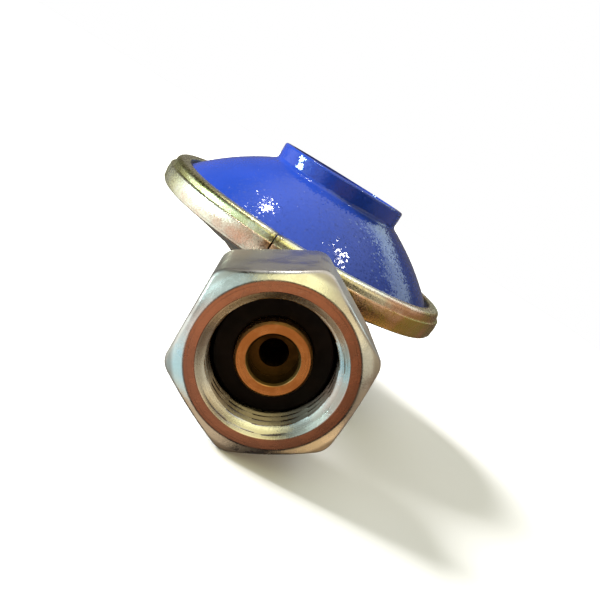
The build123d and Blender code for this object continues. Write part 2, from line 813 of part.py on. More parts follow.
# Crimped ring: rolled strip with a stepped upper edge, a crease and one butt seam
ledge_z = ring_top - ledge_drop
crease_z = ring_top - crease_drop
top_round_mid = ring_top_round * (1 - cos(pi / 4))
foot_mid_r = (ring_outer_r - crease_step + ring_foot_r) / 2 + ring_foot_bulge
foot_mid_z = (crease_z + ring_foot_z) / 2 - ring_foot_bulge
with BuildPart() as crimp_ring:
    with BuildSketch(disc_plane):
        with BuildLine():
            Polyline(
                (ring_lip_r, dome_foot_z),
                (ring_lip_r, ring_top),
                (ring_band_r - ring_top_round, ring_top),
            )
            ThreePointArc(
                (ring_band_r - ring_top_round, ring_top),
                (ring_band_r - top_round_mid, ring_top - top_round_mid),
                (ring_band_r, ring_top - ring_top_round),
            )
            Polyline(
                (ring_band_r, ring_top - ring_top_round),
                (ring_band_r, ledge_z),
                (ring_outer_r, ledge_z),
            )
            ThreePointArc(
                (ring_outer_r, ledge_z),
                (ring_outer_r + ring_belly, (ledge_z + crease_z) / 2),
                (ring_outer_r, crease_z),
            )
            Line((ring_outer_r, crease_z), (ring_outer_r - crease_step, crease_z))
            ThreePointArc(
                (ring_outer_r - crease_step, crease_z),
                (foot_mid_r, foot_mid_z),
                (ring_foot_r, ring_foot_z),
            )
            Polyline(
                (ring_foot_r, ring_foot_z),
                (ring_lower_lip_r, ring_bottom),
                (ring_lower_lip_r, flange_low),
                (ring_inner_r, flange_edge),
                (ring_inner_r, dome_foot_z),
                (ring_lip_r, dome_foot_z),
            )
        make_face()
    revolve(axis=disc_axis)
    seam_x = (ring_lip_r + ring_outer_r) / 2 * cos(radians(seam_angle))
    seam_y = disc_y + (ring_lip_r + ring_outer_r) / 2 * sin(radians(seam_angle))
    with BuildSketch(Plane.XY.offset(ring_bottom - cut_margin)):
        with Locations(Location((seam_x, seam_y), seam_angle)):
            Rectangle(3 * (ring_outer_r - ring_lip_r), seam_gap)
    extrude(amount=ring_top - ring_bottom + 2 * cut_margin, mode=Mode.SUBTRACT)
crimp_ring.part.label = "crimp_ring"
export_step(crimp_ring.part, "parts/crimp_ring.step")

# Outlet seal: fibre washer between the body and the nozzle's hexagon
with BuildPart() as outlet_seal:
    with BuildSketch(across(barrel_end)):
        Circle(barrel_r)
        Circle(tail_r + seat_gap, mode=Mode.SUBTRACT)
    extrude(amount=seal_thickness)
outlet_seal.part.label = "outlet_seal"
export_step(outlet_seal.part, "parts/outlet_seal.step")

# Outlet nozzle: threaded end, hexagon and a grooved tail for a rubber hose
nozzle_hex_flats = 2 * (barrel_r + nozzle_hex_overhang)
hex_front = barrel_end + seal_thickness
hex_back = hex_front + nozzle_hex_length
barbs_start = hex_back + hose_shank
nozzle_end = barbs_start + barb_count * barb_pitch
thread_front = barrel_end - nozzle_thread_length
with BuildPart() as outlet_nozzle:
    with BuildSketch(across(hex_front)):
        RegularPolygon(nozzle_hex_flats / 2, 6, major_radius=False)
    extrude(amount=nozzle_hex_length)
    chamfer(outlet_nozzle.edges().group_by(Axis.Y)[-1], nozzle_hex_chamfer)
    with BuildSketch(Plane.XY):
        with BuildLine():
            Polyline(
                (0, thread_front),
                (tail_r - edge_break, thread_front),
                (tail_r, thread_front + edge_break),
                (tail_r, hex_front),
                (tail_r, hex_back),
                (hose_r, hex_back),
                (hose_r, barbs_start),
                (0, barbs_start),
                close=True,
            )
        make_face()
    revolve(axis=Axis.Y)
    for barb in range(barb_count):
        barb_y = barbs_start + barb * barb_pitch
        with BuildSketch(Plane.XY):
            with BuildLine():
                Polyline(
                    (0, barb_y),
                    (hose_groove_r, barb_y),
                    (hose_groove_r, barb_y + barb_groove),
                    (hose_r, barb_y + barb_groove),
                    (hose_r, barb_y + barb_groove + barb_land),
                    (hose_groove_r, barb_y + barb_pitch),
                    (0, barb_y + barb_pitch),
                    close=True,
                )
            make_face()
        revolve(axis=Axis.Y)
    with BuildSketch(across(thread_front)):
        Circle(nozzle_bore_r)
    extrude(amount=nozzle_end - thread_front, mode=Mode.SUBTRACT)
outlet_nozzle.part.label = "outlet_nozzle"
export_step(outlet_nozzle.part, "parts/outlet_nozzle.step")

print("stack travel", stack_lift, "valve travel", round(valve_travel, 4))
print("lever turn", round(degrees(atan2(stack_lift, long_arm)), 3), "lever ratio", round(1000 / long_arm, 4))
print("valve ratio", round(pivot_z / long_arm, 6), "pitch ratio", round(plug_pitch / 2 / pi / 1000, 9))
print("disc_y", disc_y, "pivot", pivot_y, pivot_z, "nozzle", hex_back, barbs_start, nozzle_end)
print("plug turns", -360 * plug_drop / plug_pitch, 360 * plug_rise / plug_pitch)
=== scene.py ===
from math import asin, atan, cos, hypot, pi, radians, sin, sqrt, tan

import bmesh
import bpy
from mathutils import Matrix, Vector


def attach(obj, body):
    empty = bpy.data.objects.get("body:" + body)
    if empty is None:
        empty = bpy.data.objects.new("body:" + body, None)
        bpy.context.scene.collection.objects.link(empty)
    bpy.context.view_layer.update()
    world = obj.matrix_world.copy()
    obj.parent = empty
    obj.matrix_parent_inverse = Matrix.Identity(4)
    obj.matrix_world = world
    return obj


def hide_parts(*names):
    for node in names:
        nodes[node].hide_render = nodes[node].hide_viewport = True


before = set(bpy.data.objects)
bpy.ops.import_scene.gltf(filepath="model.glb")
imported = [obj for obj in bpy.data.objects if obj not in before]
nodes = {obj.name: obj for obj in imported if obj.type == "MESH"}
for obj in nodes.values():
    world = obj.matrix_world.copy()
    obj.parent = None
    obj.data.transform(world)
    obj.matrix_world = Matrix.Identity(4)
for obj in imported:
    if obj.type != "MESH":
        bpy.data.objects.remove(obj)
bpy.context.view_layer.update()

MM = 0.001

# Sizes repeated from the solids, in millimetres
NUT_FLAT = 15.0
NUT_FRONT = -6.5
NUT_BACK = 13.8
NUT_CORNER_ROUND = 3.0
NUT_FACE_R = 13.72
NUT_MOUTH_R = 11.92
NUT_NECK_R = 7.96
NUT_SHOULDER = 8.8
THREAD_MINOR_R = 10.3
THREAD_MAJOR_R = 11.45
THREAD_PITCH = 1.814
THREAD_END = 7.2
DISC_Y = 51.03
RING_SEAM = -104.2
RING_TOP = 14.8
RING_BOTTOM = 7.75
RING_FOOT = 8.83
FLOOR_Z = -16.86


# Mesh making: profiles with rounded corners, skinned round an axis

def rounded(corners, steps=4):
    """Outline through corners given as (u, v, radius); each corner becomes an arc of that radius."""
    outline = []
    count = len(corners)
    for index, (u, v, radius) in enumerate(corners):
        here = Vector((u, v))
        if radius <= 0:
            outline.append(here)
            continue
        before = (Vector(corners[index - 1][:2]) - here).normalized()
        after = (Vector(corners[(index + 1) % count][:2]) - here).normalized()
        half = before.angle(after) / 2
        reach = radius / tan(half)
        centre = here + (before + after).normalized() * (radius / sin(half))
        start = here + before * reach - centre
        end = here + after * reach - centre
        turn = start.angle(end)
        for step in range(steps + 1):
            share = step / steps
            blend = (start * sin((1 - share) * turn) + end * sin(share * turn)) / sin(turn)
            outline.append(centre + blend)
    return outline


def skin(name, columns, closed=True, sharp=38):
    """Mesh through columns of points in millimetres; each column is one closed section."""
    shape = bmesh.new()
    rows = len(columns[0])
    grid = [[shape.verts.new(Vector(point) * MM) for point in column] for column in columns]
    spans = len(grid) if closed else len(grid) - 1
    for i in range(spans):
        left, right = grid[i], grid[(i + 1) % len(grid)]
        for j in range(rows):
            k = (j + 1) % rows
            shape.faces.new((left[j], right[j], right[k], left[k]))
    if not closed:
        shape.faces.new(grid[0])
        shape.faces.new(grid[-1][::-1])
    bmesh.ops.recalc_face_normals(shape, faces=shape.faces)
    for face in shape.faces:
        face.smooth = True
    mesh = bpy.data.meshes.new(name)
    shape.to_mesh(mesh)
    shape.free()
    mesh.set_sharp_from_angle(angle=radians(sharp))
    piece = bpy.data.objects.new(name, mesh)
    bpy.context.scene.collection.objects.link(piece)
    return piece


def round_inlet(angle, radius, along):
    """Point on the inlet axis's coordinates; angle 0 is up, turning towards +X."""
    return (radius * sin(angle), along, radius * cos(angle))


def round_disc(angle, radius, height):
    """Point on the disc axis's coordinates; angle 0 is +X, turning towards +Y."""
    return (radius * cos(angle), DISC_Y + radius * sin(angle), height)


# Union nut: hexagon with soft corners, turned chamfers and a left-hand thread

def hexagon_radius(angle):
    """Distance from the axis to the nut's side, with its rounded corners."""
    off = abs((angle % (pi / 3)) - pi / 6)
    straight = atan((NUT_FLAT - NUT_CORNER_ROUND) * tan(pi / 6) / NUT_FLAT)
    if off <= straight:
        return NUT_FLAT / cos(off)
    centre = (NUT_FLAT - NUT_CORNER_ROUND) / cos(pi / 6)
    aside = pi / 6 - off
    return centre * cos(aside) + sqrt(NUT_CORNER_ROUND ** 2 - (centre * sin(aside)) ** 2)


def thread_radius(angle, along):
    """Left-hand rounded thread, opening into the mouth's countersink."""
    turn = along / THREAD_PITCH + angle / (2 * pi)
    wave = asin(0.93 * sin(2 * pi * turn)) / asin(0.93)
    depth = (THREAD_MAJOR_R - THREAD_MINOR_R) / 2
    cone = NUT_MOUTH_R - (along - NUT_FRONT) * 1.15
    return max(THREAD_MINOR_R + depth * (1 + wave), cone)


def make_nut():
    columns = []
    thread_rows = []
    along = NUT_FRONT + 0.22
    while along < THREAD_END:
        thread_rows.append(along)
        along += THREAD_PITCH / (14 if along < 1.5 else 6)
    count = 432
    for step in range(count):
        angle = 2 * pi * step / count
        side = hexagon_radius(angle)
        run = (side - NUT_FACE_R) * tan(radians(30))
        outline = rounded([
            (NUT_NECK_R, NUT_BACK, 0.25),
            (NUT_FACE_R, NUT_BACK, 0.3),
            (side, NUT_BACK - run, 0.35),
            (side, NUT_FRONT + run, 1.15),
            (NUT_FACE_R, NUT_FRONT, 0.9),
            (NUT_MOUTH_R, NUT_FRONT, 0.2),
            (NUT_MOUTH_R - 1.6, NUT_FRONT + 1.6, 0),
            (NUT_NECK_R, NUT_SHOULDER, 0),
        ])[:-2]
        section = [(point.x, point.y) for point in outline]
        section += [(thread_radius(angle, along), along) for along in thread_rows]
        section += [(THREAD_MAJOR_R, THREAD_END), (THREAD_MAJOR_R, NUT_SHOULDER - 0.2)]
        section += [(THREAD_MAJOR_R - 0.2, NUT_SHOULDER), (NUT_NECK_R, NUT_SHOULDER)]
        columns.append([round_inlet(angle, radius, along) for radius, along in section])
    return skin("nut_turned", columns, sharp=55)


nut = make_nut()
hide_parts("union_nut")
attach(nut, "union_nut")


# Crimped ring: rolled strip, slightly uneven, open at its seam

def make_ring():
    columns = []
    count = 540
    seam_half = 0.3
    for step in range(count + 1):
        turned = seam_half + (360 - 2 * seam_half) * step / count
        angle = radians(RING_SEAM + turned)
        wave = 0.5 * sin(3 * angle + 1.0) + 0.3 * sin(7 * angle + 0.4) + 0.2 * sin(17 * angle)
        flat = min(1.0, max(0.0, (turned - 14) / 8)) if turned < 180 else 1.0
        near_seam = max(0.0, 1 - min(turned, 360 - turned) / 3.0)
        ledge = 0.12 + 0.56 * flat
        lip_in = 31.58 + 0.06 * wave
        band = 35.13 - ledge + 0.02 * wave
        ledge_z = 12.8 + 0.06 * wave
        crease = 9.4 + 0.05 * wave
        top = RING_TOP - 0.03 * (1 + wave) - 0.12 * near_seam
        outer = 35.12 - 0.22 * near_seam ** 2
        outline = rounded([
            (lip_in, 13.75, 0),
            (lip_in, top, 0.32),
            (band, top, 1.15),
            (band, ledge_z, 0.1),
            (outer, ledge_z, min(0.28, ledge * 0.45)),
            (outer + 0.15, (ledge_z + crease) / 2, 4.0),
            (outer, crease, 0.1),
            (outer - 0.28, crease - 0.06, 0.05),
            (outer - 0.34, RING_FOOT - 0.02, 0.42),
            (31.02, RING_BOTTOM + 0.01, 0.25),
            (31.02, RING_BOTTOM + 0.95, 0.2),
            (33.15, RING_FOOT + 0.55, 0),
            (33.15, 13.75, 0),
        ])
        columns.append([round_disc(angle, point.x, point.y) for point in outline])
    return skin("ring_rolled", columns, closed=False, sharp=50)


ring = make_ring()
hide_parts("crimp_ring")
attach(ring, "body")


# Shader node helpers

class Bench:
    """Places nodes in one tree and joins their sockets."""

    def __init__(self, tree):
        self.tree = tree

    def place(self, kind, inputs=(), **settings):
        node = self.tree.nodes.new("ShaderNode" + kind)
        for key, value in settings.items():
            setattr(node, key, value)
        for key, value in dict(inputs).items():
            self.join(node.inputs[key], value)
        return node

    def join(self, socket, value):
        if isinstance(value, bpy.types.NodeSocket):
            self.tree.links.new(value, socket)
        elif hasattr(socket.default_value, "__len__") and len(socket.default_value) == 4 and len(value) == 3:
            socket.default_value = (*value, 1.0)
        else:
            socket.default_value = value

    def calc(self, operation, first, second=0.5, third=0.5, clamp=False):
        node = self.place("Math", {0: first, 1: second, 2: third}, operation=operation, use_clamp=clamp)
        return node.outputs[0]

    def fade(self, value, low, high, to_low=0.0, to_high=1.0):
        inputs = {"Value": value, "From Min": low, "From Max": high, "To Min": to_low, "To Max": to_high}
        return self.place("MapRange", inputs, interpolation_type="SMOOTHSTEP").outputs["Result"]

    def blend(self, share, first, second, how="MIX"):
        node = self.place("Mix", {0: share, 6: first, 7: second}, data_type="RGBA", blend_type=how)
        return node.outputs[2]

    def ramp(self, value, stops, how="LINEAR"):
        node = self.place("ValToRGB", {0: value})
        band = node.color_ramp
        band.interpolation = how
        while len(band.elements) < len(stops):
            band.elements.new(0.5)
        for element, (place, colour) in zip(band.elements, stops):
            element.position = place
        for element, (place, colour) in zip(band.elements, stops):
            element.color = (*colour, 1.0)
        return node.outputs[0]

    def noise(self, position, scale, detail=2.0, rough=0.5, twist=0.0):
        inputs = {"Vector": position, "Scale": scale, "Detail": detail, "Roughness": rough, "Distortion": twist}
        return self.place("TexNoise", inputs).outputs["Fac"]

    def bump(self, height, strength, distance, normal=None):
        inputs = {"Height": height, "Strength": strength, "Distance": distance}
        if normal is not None:
            inputs["Normal"] = normal
        return self.place("Bump", inputs).outputs[0]

    def group(self, tree, **inputs):
        node = self.tree.nodes.new("ShaderNodeGroup")
        node.node_tree = tree
        for key, value in inputs.items():
            self.join(node.inputs[key.replace("_", " ").title()], value)
        return node


def effect(name, inputs, outputs):
    """New shader node group with named sockets; gives its bench, its inputs and its output node."""
    tree = bpy.data.node_groups.new(name, "ShaderNodeTree")
    kinds = {"value": "NodeSocketFloat", "colour": "NodeSocketColor", "vector": "NodeSocketVector"}
    for title, kind, start in inputs:
        socket = tree.interface.new_socket(title, in_out="INPUT", socket_type=kinds[kind])
        if start is not None:
            socket.default_value = start
    for title, kind in outputs:
        tree.interface.new_socket(title, in_out="OUTPUT", socket_type=kinds[kind])
    bench = Bench(tree)
    entry = tree.nodes.new("NodeGroupInput")
    leave = tree.nodes.new("NodeGroupOutput")
    return bench, entry.outputs, leave.inputs


# Shared effects

def polar_effect(name, across, along, centre):
    """Radius and distance in millimetres and angle in turns about one axis."""
    bench, given, result = effect(
        name, [("Position", "vector", None)], [("Radius", "value"), ("Angle", "value"), ("Along", "value")]
    )
    parts = bench.place("SeparateXYZ", {0: given["Position"]}).outputs
    first = bench.calc("SUBTRACT", parts[across[0]], centre[0] * MM)
    second = bench.calc("SUBTRACT", parts[across[1]], centre[1] * MM)
    square = bench.calc("ADD", bench.calc("MULTIPLY", first, first), bench.calc("MULTIPLY", second, second))
    bench.join(result["Radius"], bench.calc("DIVIDE", bench.calc("SQRT", square), MM))
    turns = bench.calc("DIVIDE", bench.calc("ARCTAN2", first, second), 2 * pi)
    bench.join(result["Angle"], bench.calc("ADD", turns, 0.5))
    bench.join(result["Along"], bench.calc("DIVIDE", parts[along], MM))
    return bench.tree


def turning_effect():
    """Fine rings left by a turning tool, wavering a little."""
    bench, given, result = effect(
        "turning_marks",
        [("Position", "vector", None), ("Distance", "value", 0.0), ("Pitch", "value", 0.1)],
        [("Height", "value"), ("Shade", "value")],
    )
    waver = bench.calc("MULTIPLY", bench.noise(given["Position"], 60.0, 1.0), 0.25)
    place = bench.calc("ADD", bench.calc("DIVIDE", given["Distance"], given["Pitch"]), waver)
    fine = bench.place("TexNoise", {"W": place, "Scale": 1.0, "Detail": 1.5}, noise_dimensions="1D")
    broad = bench.place("TexNoise", {"W": place, "Scale": 0.17, "Detail": 0.0}, noise_dimensions="1D")
    patchy = bench.fade(bench.noise(given["Position"], 190.0, 2.0), 0.35, 0.65, 0.5, 1.0)
    bench.join(result["Height"], bench.calc("MULTIPLY", fine.outputs[0], patchy))
    shade = bench.calc("MULTIPLY_ADD", broad.outputs[0], 0.6, bench.calc("MULTIPLY", fine.outputs[0], 0.4))
    bench.join(result["Shade"], shade)
    return bench.tree


def grain_effect():
    """Fine speckle and soft cloud of one size in millimetres."""
    bench, given, result = effect(
        "surface_grain",
        [("Position", "vector", None), ("Size", "value", 0.3), ("Contrast", "value", 0.2)],
        [("Speckle", "value"), ("Cloud", "value"), ("Height", "value")],
    )
    scale = bench.calc("DIVIDE", 1000.0, given["Size"])
    fine = bench.noise(given["Position"], scale, 3.0, 0.65)
    low = bench.calc("SUBTRACT", 0.5, given["Contrast"])
    high = bench.calc("ADD", 0.5, given["Contrast"])
    bench.join(result["Speckle"], bench.fade(fine, low, high))
    cloud = bench.noise(given["Position"], bench.calc("MULTIPLY", scale, 0.08), 3.0, 0.6)
    bench.join(result["Cloud"], bench.fade(cloud, 0.35, 0.65))
    bench.join(result["Height"], fine)
    return bench.tree


def peel_effect():
    """Sprayed paint: small facets that each lean a little, and a few dust nibs."""
    bench, given, result = effect(
        "orange_peel",
        [("Position", "vector", None), ("Size", "value", 1.0), ("Lean", "value", 0.05)],
        [("Offset", "vector"), ("Dust", "value")],
    )
    scale = bench.calc("DIVIDE", 1000.0, given["Size"])
    facets = bench.place("TexVoronoi", {"Vector": given["Position"], "Scale": scale})
    chance = bench.place("SeparateColor", {0: facets.outputs["Color"]}).outputs
    centred = bench.place("VectorMath", {0: facets.outputs["Color"], 1: (0.5, 0.5, 0.5)}, operation="SUBTRACT")
    steep = bench.calc("MULTIPLY_ADD", bench.calc("POWER", chance[0], 5.0), 3.0, 1.0)
    lean = bench.calc("MULTIPLY", steep, given["Lean"])
    offset = bench.place("VectorMath", {0: centred.outputs[0], "Scale": lean}, operation="SCALE")
    bench.join(result["Offset"], offset.outputs[0])
    nibs = bench.place("TexVoronoi", {"Vector": given["Position"], "Scale": bench.calc("MULTIPLY", scale, 0.35)})
    near = bench.fade(nibs.outputs["Distance"], 0.03, 0.10, 1.0, 0.0)
    rare = bench.place("SeparateColor", {0: nibs.outputs["Color"]}).outputs[0]
    bench.join(result["Dust"], bench.calc("MULTIPLY", near, bench.calc("GREATER_THAN", rare, 0.86)))
    return bench.tree


def wear_effect():
    """Handling scratches and smudges."""
    bench, given, result = effect(
        "handling_wear",
        [("Position", "vector", None), ("Size", "value", 4.0)],
        [("Scratch", "value"), ("Smudge", "value")],
    )
    scale = bench.calc("DIVIDE", 1000.0, given["Size"])
    stretched = bench.place(
        "Mapping", {"Vector": given["Position"], "Rotation": (0.3, 0.7, 0.4), "Scale": (1.0, 0.06, 1.0)}
    ).outputs[0]
    line = bench.noise(stretched, bench.calc("MULTIPLY", scale, 6.0), 2.0, 0.6)
    off = bench.calc("ABSOLUTE", bench.calc("SUBTRACT", line, 0.5))
    thin = bench.fade(off, 0.0, 0.012, 1.0, 0.0)
    some = bench.fade(bench.noise(given["Position"], bench.calc("MULTIPLY", scale, 0.8), 2.0), 0.5, 0.62)
    bench.join(result["Scratch"], bench.calc("MULTIPLY", thin, some))
    bench.join(result["Smudge"], bench.fade(bench.noise(given["Position"], scale, 4.0, 0.6, 0.6), 0.32, 0.68))
    return bench.tree


def film_effect():
    """Colours of a passivated zinc film from thin to thick."""
    bench, given, result = effect(
        "zinc_film", [("Thickness", "value", 0.5), ("Shift", "value", 0.0)], [("Colour", "colour")]
    )
    place = bench.calc("ADD", given["Thickness"], given["Shift"], clamp=True)
    bench.join(result["Colour"], bench.ramp(place, [
        (0.0, (0.50, 0.47, 0.18)),
        (0.18, (0.86, 0.82, 0.48)),
        (0.34, (0.98, 0.94, 0.76)),
        (0.50, (0.93, 0.74, 0.58)),
        (0.62, (0.82, 0.50, 0.36)),
        (0.74, (0.62, 0.38, 0.16)),
        (0.87, (0.48, 0.40, 0.10)),
        (1.0, (0.42, 0.46, 0.16)),
    ]))
    return bench.tree


INLET_POLAR = polar_effect("about_inlet", (0, 2), 1, (0.0, 0.0))
DISC_POLAR = polar_effect("about_disc", (1, 0), 2, (DISC_Y, 0.0))
TURNING = turning_effect()
GRAIN = grain_effect()
PEEL = peel_effect()
WEAR = wear_effect()
FILM = film_effect()


# Materials

def finish(name, metallic=0.0, roughness=0.4, ior=1.5, coat=0.0, coat_rough=0.05):
    """New material with its shader set; gives the material, its bench, the shader and object coordinates."""
    material = bpy.data.materials.new(name)
    material.use_nodes = True
    tree = material.node_tree
    tree.nodes.clear()
    bench = Bench(tree)
    shader = bench.place("BsdfPrincipled", {
        "Metallic": metallic, "Roughness": roughness, "IOR": ior, "Coat Weight": coat, "Coat Roughness": coat_rough,
    })
    leave = tree.nodes.new("ShaderNodeOutputMaterial")
    tree.links.new(shader.outputs[0], leave.inputs[0])
    position = bench.place("TexCoord").outputs["Object"]
    return material, bench, shader.inputs, position


def nut_finish():
    material, bench, shader, position = finish("nut_zinc_turned", metallic=1.0)
    about = bench.group(INLET_POLAR, position=position).outputs
    grain = bench.group(GRAIN, position=position, size=0.35, contrast=0.22).outputs
    wear = bench.group(WEAR, position=position, size=5.0).outputs
    marks = bench.group(TURNING, position=position, distance=about["Radius"], pitch=0.09).outputs
    inside = bench.fade(about["Radius"], 11.7, 12.0, 1.0, 0.0)
    front = bench.fade(about["Along"], -6.47, -6.38, 1.0, 0.0)
    face = bench.calc("MULTIPLY", front, bench.fade(about["Radius"], 11.75, 11.9))
    face = bench.calc("MULTIPLY", face, bench.fade(about["Radius"], 13.45, 13.85, 1.0, 0.0))
    side = bench.fade(about["Along"], -5.7, -5.2)
    side = bench.calc("MULTIPLY", side, bench.fade(about["Radius"], 14.2, 14.6))
    turned = bench.calc("MAXIMUM", face, inside)
    tone = bench.calc("MULTIPLY_ADD", grain["Cloud"], 0.5, bench.calc("MULTIPLY", wear["Smudge"], 0.5))
    base = bench.ramp(tone, [(0.15, (0.66, 0.64, 0.60)), (0.5, (0.77, 0.76, 0.73)), (0.85, (0.84, 0.82, 0.76))])
    base = bench.blend(bench.calc("MULTIPLY", side, 0.85), base, (0.50, 0.45, 0.40))
    # Painted reflection: the front face gets a reddish-brown tint, changing with angle round the axis, in place of
    # the surroundings mirrored in it.
    painted_reflection_tint = bench.ramp(about["Angle"], [
        (0.0, (0.62, 0.40, 0.32)), (0.17, (0.74, 0.46, 0.38)), (0.36, (0.76, 0.48, 0.36)),
        (0.55, (0.70, 0.42, 0.30)), (0.68, (0.50, 0.28, 0.20)), (0.86, (0.44, 0.28, 0.22)), (1.0, (0.58, 0.38, 0.31)),
    ])
    base = bench.blend(face, base, painted_reflection_tint)
    # Painted shade: the thread's roots, its grooves, are darkened towards brown.
    root_shade = bench.calc("MULTIPLY", inside, bench.fade(about["Radius"], 10.6, 11.3))
    base = bench.blend(bench.calc("MULTIPLY", root_shade, 0.5), base, (0.30, 0.24, 0.17))
    # Painted shade: the thread is darkened to near black-brown deeper in from the mouth.
    deep = bench.calc("MULTIPLY", inside, bench.fade(about["Along"], -4.9, -3.2))
    base = bench.blend(bench.calc("MULTIPLY", deep, 0.9), base, (0.10, 0.07, 0.045))
    base = bench.blend(bench.calc("MULTIPLY", grain["Speckle"], 0.10), base, (0.35, 0.30, 0.22))
    base = bench.blend(bench.calc("MULTIPLY", wear["Scratch"], 0.35), base, (0.95, 0.94, 0.90))
    bench.join(shader["Base Color"], base)
    rough = bench.calc("ADD", bench.fade(tone, 0.2, 0.8, 0.17, 0.30), bench.calc("MULTIPLY", side, 0.22))
    bench.join(shader["Roughness"], rough)
    rings = bench.bump(bench.calc("MULTIPLY", marks["Height"], turned), 0.35, 0.00006)
    bench.join(shader["Normal"], bench.bump(grain["Height"], 0.25, 0.00009, rings))
    return material


def ring_finish():
    material, bench, shader, position = finish("ring_yellow_zinc", metallic=1.0)
    about = bench.group(DISC_POLAR, position=position).outputs
    grain = bench.group(GRAIN, position=position, size=0.42, contrast=0.16).outputs
    fine = bench.group(GRAIN, position=position, size=0.16, contrast=0.2).outputs
    wear = bench.group(WEAR, position=position, size=3.0).outputs
    upper = bench.fade(about["Along"], 12.72, 12.86)
    lip_highlight = bench.fade(about["Along"], 14.55, 14.75)
    low_film = bench.ramp(about["Angle"], [
        (0.0, (0.18, 0.18, 0.18)), (0.05, (0.20, 0.20, 0.20)), (0.10, (0.36, 0.36, 0.36)),
        (0.17, (0.48, 0.48, 0.48)), (0.205, (0.62, 0.62, 0.62)), (0.25, (0.72, 0.72, 0.72)),
        (0.36, (0.76, 0.76, 0.76)), (0.46, (0.88, 0.88, 0.88)), (0.55, (0.40, 0.40, 0.40)),
        (1.0, (0.20, 0.20, 0.20)),
    ])
    high_film = bench.ramp(about["Angle"], [
        (0.0, (0.02, 0.02, 0.02)), (0.10, (0.06, 0.06, 0.06)), (0.19, (0.20, 0.20, 0.20)),
        (0.28, (0.30, 0.30, 0.30)), (0.37, (0.66, 0.66, 0.66)), (0.42, (0.80, 0.80, 0.80)),
        (0.47, (0.98, 0.98, 0.98)), (0.60, (0.30, 0.30, 0.30)), (1.0, (0.05, 0.05, 0.05)),
    ])
    thickness = bench.calc("ADD", bench.calc("MULTIPLY", low_film, bench.calc("SUBTRACT", 1.0, upper)),
                           bench.calc("MULTIPLY", high_film, upper))
    patch = bench.calc("MULTIPLY", bench.calc("SUBTRACT", grain["Cloud"], 0.5), 0.18)
    speck = bench.calc("MULTIPLY", bench.calc("SUBTRACT", fine["Speckle"], 0.5), 0.10)
    base = bench.group(FILM, thickness=thickness, shift=bench.calc("ADD", patch, speck)).outputs[0]
    # Painted highlight: the top of the lip is lightened towards pale cream all round.
    base = bench.blend(bench.calc("MULTIPLY", lip_highlight, 0.5), base, (0.98, 0.93, 0.72))
    seam = bench.calc("ABSOLUTE", bench.calc("SUBTRACT", about["Angle"], 0.2106))
    stain = bench.calc("MULTIPLY", bench.fade(seam, 0.002, 0.012, 1.0, 0.0), bench.fade(about["Along"], 11.2, 13.6))
    stain = bench.calc("MULTIPLY", stain, bench.fade(grain["Height"], 0.38, 0.58))
    base = bench.blend(bench.calc("MULTIPLY", stain, 0.85), base, (0.16, 0.08, 0.03))
    dark = bench.calc("MULTIPLY", bench.fade(fine["Height"], 0.52, 0.70), 0.45)
    base = bench.blend(dark, base, (0.20, 0.17, 0.06))
    base = bench.blend(bench.calc("MULTIPLY", wear["Scratch"], 0.4), base, (0.96, 0.95, 0.88))
    bench.join(shader["Base Color"], base)
    bench.join(shader["Roughness"], bench.fade(grain["Speckle"], 0.0, 1.0, 0.22, 0.38))
    first = bench.bump(grain["Height"], 0.35, 0.00012)
    bench.join(shader["Normal"], bench.bump(fine["Height"], 0.35, 0.00006, first))
    return material


def paint_finish():
    material, bench, shader, position = finish("cover_blue_paint", roughness=0.05, ior=1.47)
    peel = bench.group(PEEL, position=position, size=0.36, lean=0.07).outputs
    grain = bench.group(GRAIN, position=position, size=1.4, contrast=0.25).outputs
    wear = bench.group(WEAR, position=position, size=9.0).outputs
    base = bench.blend(grain["Cloud"], (0.012, 0.042, 0.29), (0.016, 0.048, 0.33))
    base = bench.blend(bench.calc("MULTIPLY", peel["Dust"], 0.6), base, (0.45, 0.48, 0.66))
    bench.join(shader["Base Color"], base)
    bench.join(shader["Roughness"], bench.fade(wear["Smudge"], 0.0, 1.0, 0.04, 0.09))
    smooth = bench.place("NewGeometry").outputs["Normal"]
    leaning = bench.place("VectorMath", {0: smooth, 1: peel["Offset"]}, operation="ADD").outputs[0]
    bench.join(shader["Normal"], bench.place("VectorMath", {0: leaning}, operation="NORMALIZE").outputs[0])
    return material


def cap_finish():
    material, bench, shader, position = finish("hub_cap_moulded", roughness=0.45)
    about = bench.group(DISC_POLAR, position=position).outputs
    grain = bench.group(GRAIN, position=position, size=0.25, contrast=0.25).outputs
    marks = bench.group(TURNING, position=position, distance=about["Radius"], pitch=0.25).outputs
    base = bench.blend(grain["Cloud"], (0.015, 0.03, 0.20), (0.02, 0.04, 0.26))
    bench.join(shader["Base Color"], base)
    bench.join(shader["Roughness"], bench.fade(grain["Speckle"], 0.0, 1.0, 0.36, 0.5))
    rings = bench.bump(marks["Height"], 0.15, 0.00005)
    bench.join(shader["Normal"], bench.bump(grain["Height"], 0.2, 0.00005, rings))
    return material


def rubber_finish(name, tone, gloss=0.5):
    material, bench, shader, position = finish(name, roughness=0.5)
    shader["Specular IOR Level"].default_value = gloss
    grain = bench.group(GRAIN, position=position, size=0.2, contrast=0.25).outputs
    wear = bench.group(WEAR, position=position, size=4.0).outputs
    dark = tuple(0.6 * value for value in tone)
    bench.join(shader["Base Color"], bench.blend(grain["Cloud"], dark, tone))
    bench.join(shader["Roughness"], bench.fade(wear["Smudge"], 0.0, 1.0, 0.38, 0.6))
    bench.join(shader["Normal"], bench.bump(grain["Height"], 0.25, 0.00005))
    return material


